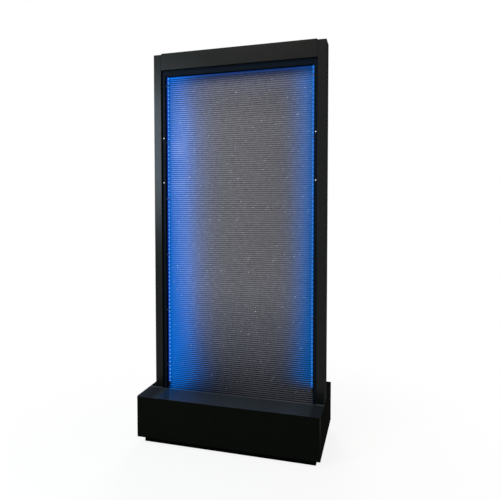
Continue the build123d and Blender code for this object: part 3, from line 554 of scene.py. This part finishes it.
drops = []
for index in range(drop_count + streak_count):
    rib = dice.randrange(bare_ribs_below, rib_count - bare_ribs_above)
    if index < drop_count:
        half_width = dice.uniform(thinnest_drop, widest_drop)
        half_length = half_width * dice.uniform(*bead_stretch)
        lean = 0.0
    else:
        half_width = thinnest_drop
        half_length = dice.uniform(*streak_half_length)
        lean = dice.uniform(*streak_lean)
    drop_x = dice.uniform(left_face + bare_left, right_face - bare_right)
    drop_z = panel_box[0].z + (rib + 0.5) * rib_pitch
    drops.append((drop_x, drop_z, half_width, half_length, lean))
water = Paint("water_drops")
spot = water.place()
painted_glint = water.noise(spot, 40.0, 1.0) * water.step(water.axis(spot, "Z"), 0.3, 1.3, 0.35, 1.0)
water.set(Base_Color=water.mix(painted_glint, (0.15, 0.17, 0.22, 1), (0.80, 0.84, 0.90, 1)), Roughness=0.08,
          Specular_IOR_Level=0.25, Emission_Strength=1.0,
          Emission_Color=water.mix(painted_glint, (0.0, 0.0, 0.02, 1), (0.40, 0.42, 0.50, 1)))
make_piece("drops", *drop_mesh(drops), water, "ribbed_sheet", smooth_angle=60)

# The light strips: clear rope with a blue lamp every inch, which glows deep blue along its outer
# side, with a bright bead at each lamp. The right one is turned so that its lamps face away more.
lamp_pitch = 0.0254
deep_side = 0.0102
side_blur = 0.002
rope = Paint("blue_rope_light")
spot = rope.place()
x = rope.axis(spot, "X")
z = rope.axis(spot, "Z")
from_trim = x.math("MINIMUM", x - left_face, right_face - x)
inner = rope.step(from_trim, deep_side - side_blur, deep_side + side_blur)
beads = 0.5 + 0.5 * z.math("COSINE", (z - panel_box[0].z) * (2 * math.pi / lamp_pitch))
bead_colour = rope.mix(beads ** 1.5, (0.005, 0.10, 0.58, 1), (0.11, 0.44, 0.95, 1))
left_rope = rope.mix(inner, (0.0, 0.016, 0.27, 1), bead_colour)
right_rope = rope.mix(beads, (0.002, 0.08, 0.38, 1), (0.014, 0.17, 0.58, 1))
rope.set(Base_Color=(0.01, 0.03, 0.10, 1), Roughness=0.25, Specular_IOR_Level=0.1,
         Emission_Color=rope.mix(x > 0.0, left_rope, right_rope), Emission_Strength=1.0)
coat(rope, "left_light_strip", "right_light_strip")

# The clips that hold the ropes to the trim: thin clear plastic saddles, six to each rope, with some
# of its blue painted on them as a faint glow.
clear_plastic = Paint("clear_clip_plastic")
haze_and_glow = clear_plastic.noise(clear_plastic.place(), 60.0, 2.0)
clear_plastic.set(Base_Color=clear_plastic.mix(haze_and_glow, (0.02, 0.03, 0.06, 1), (0.04, 0.05, 0.09, 1)),
                  Roughness=0.22, Specular_IOR_Level=0.3, Emission_Strength=1.0,
                  Emission_Color=clear_plastic.mix(haze_and_glow, (0.0, 0.01, 0.05, 1), (0.0, 0.02, 0.09, 1)))
coat(clear_plastic, "light_clips")


# Small moulded parts: the ropes' connectors, the spray bar's clips, the driver's end caps and the
# cord's gland. They are black nylon with a fine spark-eroded texture.
def moulded(name, low, high, gloss, texture_scale, texture_depth):
    """Moulded plastic or rubber between two colours, with its mould's texture and handling marks."""
    paint = Paint(name)
    spot = paint.place()
    texture = paint.noise(spot, texture_scale, 2.0)
    marks = paint.noise(spot, 30.0, 4.0)
    paint.set(Base_Color=paint.mix(marks, low, high), Specular_IOR_Level=0.4,
              Roughness=paint.step(marks, 0.3, 0.7, gloss + 0.06, gloss - 0.06),
              Normal=paint.bump(texture, texture_depth, 0.6))
    return paint


nylon = moulded("black_nylon", grey(0.010), grey(0.022), gloss=0.45,
                texture_scale=700.0, texture_depth=0.0001)
coat(nylon, "light_connectors", "spray_bar_clips", "driver_end_caps", "cable_gland")

# The rubber parts: the channels on the panel's long edges, the pump's suction feet and the bushes
# at the ends of its shaft. They are extruded or moulded black rubber with a dusty bloom.
rubber = moulded("black_rubber", grey(0.008), grey(0.028), gloss=0.75,
                 texture_scale=250.0, texture_depth=0.00015)
coat(rubber, "left_panel_gasket", "right_panel_gasket", "pump_feet", "shaft_bushes")

# The screws through the side strips: bright pan heads with a cross recess, each with its shank and
# its nut behind the angle. They clamp the gaskets, the panel and the angles together.
head_radius = 0.0045
shank_radius = 0.0025
nut_radius = 0.0045
nut_height = 0.004
angle_thickness = 0.003
cross_arm = 0.0026
cross_half = 0.00055


def screw_mesh(places, head_front, head_back, nut_front, nut_back, tip):
    """Pan-head screws along Y with a pressed cross in the head, a hexagon nut and a plain shank."""
    rings = 12
    sides = 32
    nut_sides = 6
    dome = head_back - head_front
    vertices = []
    faces = []

    def lathe(x, z, points, count):
        """Turns (radius, y) points about the screw's axis and closes the far end."""
        first = len(vertices)
        for radius, y in points:
            for side in range(count):
                turn = side / count * 2 * math.pi
                vertices.append((x + radius * math.cos(turn), y, z + radius * math.sin(turn)))
        for row in range(len(points) - 1):
            low = first + row * count
            for side in range(count):
                after = (side + 1) % count
                faces.append((low + side, low + after, low + count + after, low + count + side))
        return first, first + (len(points) - 1) * count

    for x, z in places:
        profile = [(shank_radius, tip), (shank_radius, head_back), (head_radius, head_back)]
        first, last = lathe(x, z, profile, sides)
        faces.append(tuple(first + side for side in range(sides)))
        for ring in range(1, rings):
            share = 1.0 - ring / rings
            radius = head_radius * share
            height = dome * math.sqrt(1.0 - share ** 2)
            row = len(vertices)
            for side in range(sides):
                turn = side / sides * 2 * math.pi
                across = radius * math.cos(turn)
                up = radius * math.sin(turn)
                in_cross = radius < cross_arm and min(abs(across), abs(up)) < cross_half
                vertices.append((x + across, head_back - height * (0.35 if in_cross else 1.0), z + up))
            for side in range(sides):
                after = (side + 1) % sides
                faces.append((last + side, last + after, row + after, row + side))
            last = row
        vertices.append((x, head_back - dome * 0.3, z))
        faces.extend((last + side, last + (side + 1) % sides, len(vertices) - 1) for side in range(sides))
        first, last = lathe(x, z, [(nut_radius, nut_back), (nut_radius, nut_front)], nut_sides)
        faces.append(tuple(first + side for side in range(nut_sides)))
        faces.append(tuple(last + side for side in reversed(range(nut_sides))))
    return vertices, faces


def metal(name, low, high, gloss, grain, depth=0.00005):
    """Bare or plated metal between two colours, with grain whose scale differs by axis."""
    paint = Paint(name)
    spot = paint.place()
    lines = paint.noise(paint.stretch(spot, *grain), 1.0, 3.0)
    cloud = paint.noise(spot, 18.0, 3.0)
    paint.set(Base_Color=paint.mix(cloud, low, high), Metallic=1.0,
              Roughness=paint.step(lines, 0.25, 0.75, gloss - 0.08, gloss + 0.08),
              Normal=paint.bump(lines, depth, 0.5))
    return paint


bright_steel = metal("bright_steel", grey(0.55), grey(0.72), gloss=0.22, grain=(900.0, 900.0, 900.0))
screw_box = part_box("strip_screws")
screw_columns = (screw_box[0].x + head_radius, screw_box[1].x - head_radius)
screw_heights = (screw_box[0].z + head_radius, screw_box[1].z - head_radius)
strip_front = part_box("left_side_strip")[0].y
angle_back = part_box("left_panel_angle")[0].y + angle_thickness
screws = screw_mesh([(x, z) for x in screw_columns for z in screw_heights], screw_box[0].y, strip_front,
                    angle_back, angle_back + nut_height, screw_box[1].y)
trim_screws = make_piece("trim_screws", *screws, bright_steel, "bright_steel", smooth_angle=35)
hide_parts("strip_screws")

# The hidden steelwork and fixings: post supports, bolts, panel rests, header screws and the driver's
# bracket. They are zinc plated, with the plating's pale spangle, and the screws in the rear panel are
# plated black.
zinc = metal("zinc_plated_steel", (0.30, 0.31, 0.33, 1), (0.50, 0.51, 0.52, 1), gloss=0.42,
             grain=(120.0, 120.0, 120.0))
coat(zinc, "left_post_support", "right_post_support", "post_bolts", "left_panel_rest", "right_panel_rest",
     "rest_screws", "header_screws", "driver_bracket")
black_zinc = metal("black_zinc_screws", grey(0.03), grey(0.07), gloss=0.4, grain=(300.0, 300.0, 300.0))
coat(black_zinc, "rear_panel_screws")

# The aluminium: the two angles that the panel is clamped to, and the driver's extruded case. Both
# are mill finished, with fine lines along their length.
across_lines = 1500.0
along_lines = 6.0
mill_aluminium = metal("mill_aluminium", (0.50, 0.51, 0.53, 1), (0.62, 0.63, 0.64, 1), gloss=0.38,
                       grain=(across_lines, across_lines, along_lines))
coat(mill_aluminium, "left_panel_angle", "right_panel_angle")
driver_case = metal("extruded_aluminium", (0.46, 0.47, 0.49, 1), (0.60, 0.61, 0.62, 1), gloss=0.40,
                    grain=(along_lines, across_lines, across_lines))
coat(driver_case, "light_driver")

# The reservoir tub: black polyethylene, formed over a mould, with a dull chalky band where the
# water's surface stands.
water_line = 0.175
band_half = 0.022
tub = Paint("tub_polyethylene")
spot = tub.place()
z = tub.axis(spot, "Z")
ripple = tub.noise(spot, 9.0, 3.0)
chalk = tub.noise(spot, 120.0, 4.0)
band = bell(z - water_line + (ripple - 0.5) * 0.02, band_half) * tub.step(chalk, 0.35, 0.65)
plain = tub.mix(ripple, grey(0.014), grey(0.028))
tub.set(Base_Color=tub.mix(band * 0.55, plain, (0.22, 0.23, 0.22, 1)), Roughness=0.38 + 0.35 * band,
        Specular_IOR_Level=0.35, Normal=tub.bump(ripple + chalk * 0.05, 0.0012, 0.5))
coat(tub, "reservoir_tub")

# The pump: a sealed motor block, the impeller's spiral housing and the slotted strainer, all moulded
# in dark filled plastic, with a rotor and impeller in one paler moulding on a ground ceramic shaft.
pump_plastic = moulded("pump_plastic", (0.016, 0.018, 0.024, 1), (0.032, 0.035, 0.044, 1), gloss=0.42,
                       texture_scale=450.0, texture_depth=0.0002)
coat(pump_plastic, "pump_motor", "pump_volute", "strainer_cover")
rotor_plastic = moulded("rotor_plastic", (0.05, 0.06, 0.07, 1), (0.09, 0.10, 0.12, 1), gloss=0.36,
                        texture_scale=500.0, texture_depth=0.0001)
coat(rotor_plastic, "impeller")
ceramic = Paint("ground_ceramic")
turning = ceramic.noise(ceramic.stretch(ceramic.place(), 2500.0, 20.0, 20.0), 1.0, 2.0)
ceramic.set(Base_Color=ceramic.mix(turning, (0.74, 0.72, 0.66, 1), (0.86, 0.85, 0.80, 1)), Roughness=0.3,
            Normal=ceramic.bump(turning, 0.00003, 0.4))
coat(ceramic, "pump_shaft")

# The flow valve: a body of hexagonal brass bar, a chromed ball that a plated steel lever turns, and
# the red vinyl sleeve that is dipped over the lever's end.
brass = metal("turned_brass", (0.46, 0.33, 0.13, 1), (0.66, 0.50, 0.22, 1), gloss=0.32,
              grain=(60.0, 60.0, 1400.0))
coat(brass, "valve_body")
chrome = metal("chromed_ball", grey(0.62), grey(0.72), gloss=0.10, grain=(400.0, 400.0, 400.0),
               depth=0.00001)
coat(chrome, "valve_ball")
lever_steel = metal("plated_lever", grey(0.48), grey(0.64), gloss=0.28, grain=(200.0, 200.0, 900.0))
coat(lever_steel, "valve_lever")
vinyl = moulded("red_vinyl", (0.34, 0.012, 0.010, 1), (0.50, 0.030, 0.020, 1), gloss=0.40,
                texture_scale=300.0, texture_depth=0.0002)
coat(vinyl, "lever_grip")

# The pipework: the riser behind the panel, its coupling, the mitred elbow and the slit bar with its
# plugs. It is grey pressure pipe, with faint scuffs, and a darker ring of cement at each socket.
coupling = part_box("pipe_coupling")
cement_half = 0.002
pipe = Paint("grey_pressure_pipe")
spot = pipe.place()
z = pipe.axis(spot, "Z")
drawn = pipe.noise(pipe.stretch(spot, 400.0, 400.0, 5.0), 1.0, 2.0)
scuff = pipe.noise(spot, 35.0, 4.0)
cement = bell(z - coupling[0].z, cement_half) + bell(z - coupling[1].z, cement_half)
grey_pipe = pipe.mix(scuff, (0.20, 0.21, 0.22, 1), (0.32, 0.33, 0.34, 1))
cement = cement.math("MINIMUM", cement * 0.7, 1.0)
pipe.set(Base_Color=pipe.mix(cement, grey_pipe, (0.10, 0.09, 0.08, 1)),
         Roughness=0.38 + 0.2 * (drawn - 0.5), Specular_IOR_Level=0.4,
         Normal=pipe.bump(drawn, 0.0001, 0.5))
coat(pipe, "riser_pipe", "pipe_coupling", "feed_elbow", "spray_bar", "spray_bar_plugs")
